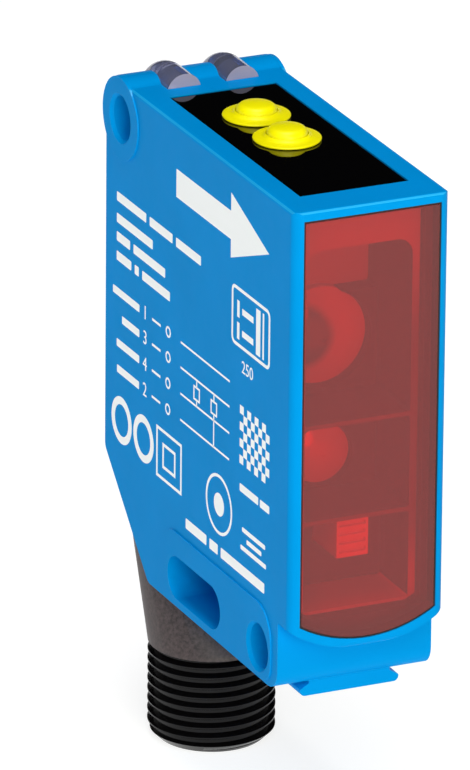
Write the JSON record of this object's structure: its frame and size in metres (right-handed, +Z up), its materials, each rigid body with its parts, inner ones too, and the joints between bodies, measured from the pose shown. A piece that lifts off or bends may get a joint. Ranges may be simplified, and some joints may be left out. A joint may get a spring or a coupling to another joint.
{
  "type": "photoelectric sensor",
  "caption": "Slim block-shaped photoelectric sensor: blue metal housing, red front window, black top panel with yellow teach buttons, swivelling M12 plug.",
  "frame": {"origin": "on the axis of the upper mounting hole, half way across the housing", "axes": "+X across the housing along the mounting holes, -Y out of the front window along the light beam, +Z up through the control panel"},
  "size_m": [0.0156, 0.0427, 0.0651],
  "materials": {
    "housing_paint": "satin blue powder coat on die-cast metal",
    "window_red": "clear red moulded acrylic",
    "seal_black": "matt black",
    "panel_black": "polished black",
    "button_yellow": "smooth yellow elastomer",
    "plastic_dark": "moulded, dark grey",
    "switch_metal": "tinned sheet",
    "guide_clear": "clear moulded polycarbonate",
    "led_body": "moulded, cream",
    "board_green": "solder mask",
    "lens_red": "clear moulded acrylic",
    "plug_black": "satin black, glass-filled",
    "retainer_steel": "spring steel",
    "contact_gold": "gold plated"
  },
  "bodies": {
    "sensor_body": {"housing": "housing_paint", "front_window": "window_red", "window_seal": "seal_black", "top_panel": "panel_black", "panel_gasket": "seal_black", "button_collar_front": "button_yellow", "button_collar_rear": "button_yellow", "switch_front": "switch_metal", "switch_rear": "switch_metal", "light_guide_left": "guide_clear", "light_guide_right": "guide_clear", "indicator_led_left": "led_body", "indicator_led_right": "led_body", "control_board": "board_green", "optics_carrier": "plastic_dark", "receiver_lens": "lens_red", "emitter_lens": "lens_red", "alignment_insert": "plastic_dark", "optics_board": "board_green", "receiver_element": "plastic_dark", "emitter_led": "led_body", "logic_board": "board_green", "board_link": "plastic_dark"},
    "front_button": {"teach_button_front": "button_yellow", "switch_plunger_front": "plastic_dark"},
    "rear_button": {"teach_button_rear": "button_yellow", "switch_plunger_rear": "plastic_dark"},
    "plug": {"swivel_body": "plug_black", "swivel_seal": "seal_black", "swivel_retainer": "retainer_steel", "thread_sleeve": "plug_black", "contact_insert": "plastic_dark", "contact_pins": "contact_gold"}
  },
  "joints": [
    {"name": "front_button_press", "type": "slide", "parent": "sensor_body", "child": "front_button", "axis": [0, 0, -1], "range_m": [0, 0.00035], "stiffness_N_per_m": 3000},
    {"name": "rear_button_press", "type": "slide", "parent": "sensor_body", "child": "rear_button", "axis": [0, 0, -1], "range_m": [0, 0.00035], "stiffness_N_per_m": 3000},
    {"name": "plug_swivel", "type": "hinge", "parent": "sensor_body", "child": "plug", "pos_m": [0, -0.0016, -0.0383], "axis": [0, 0.7071, -0.7071], "range_deg": [0, 180]}
  ]
}
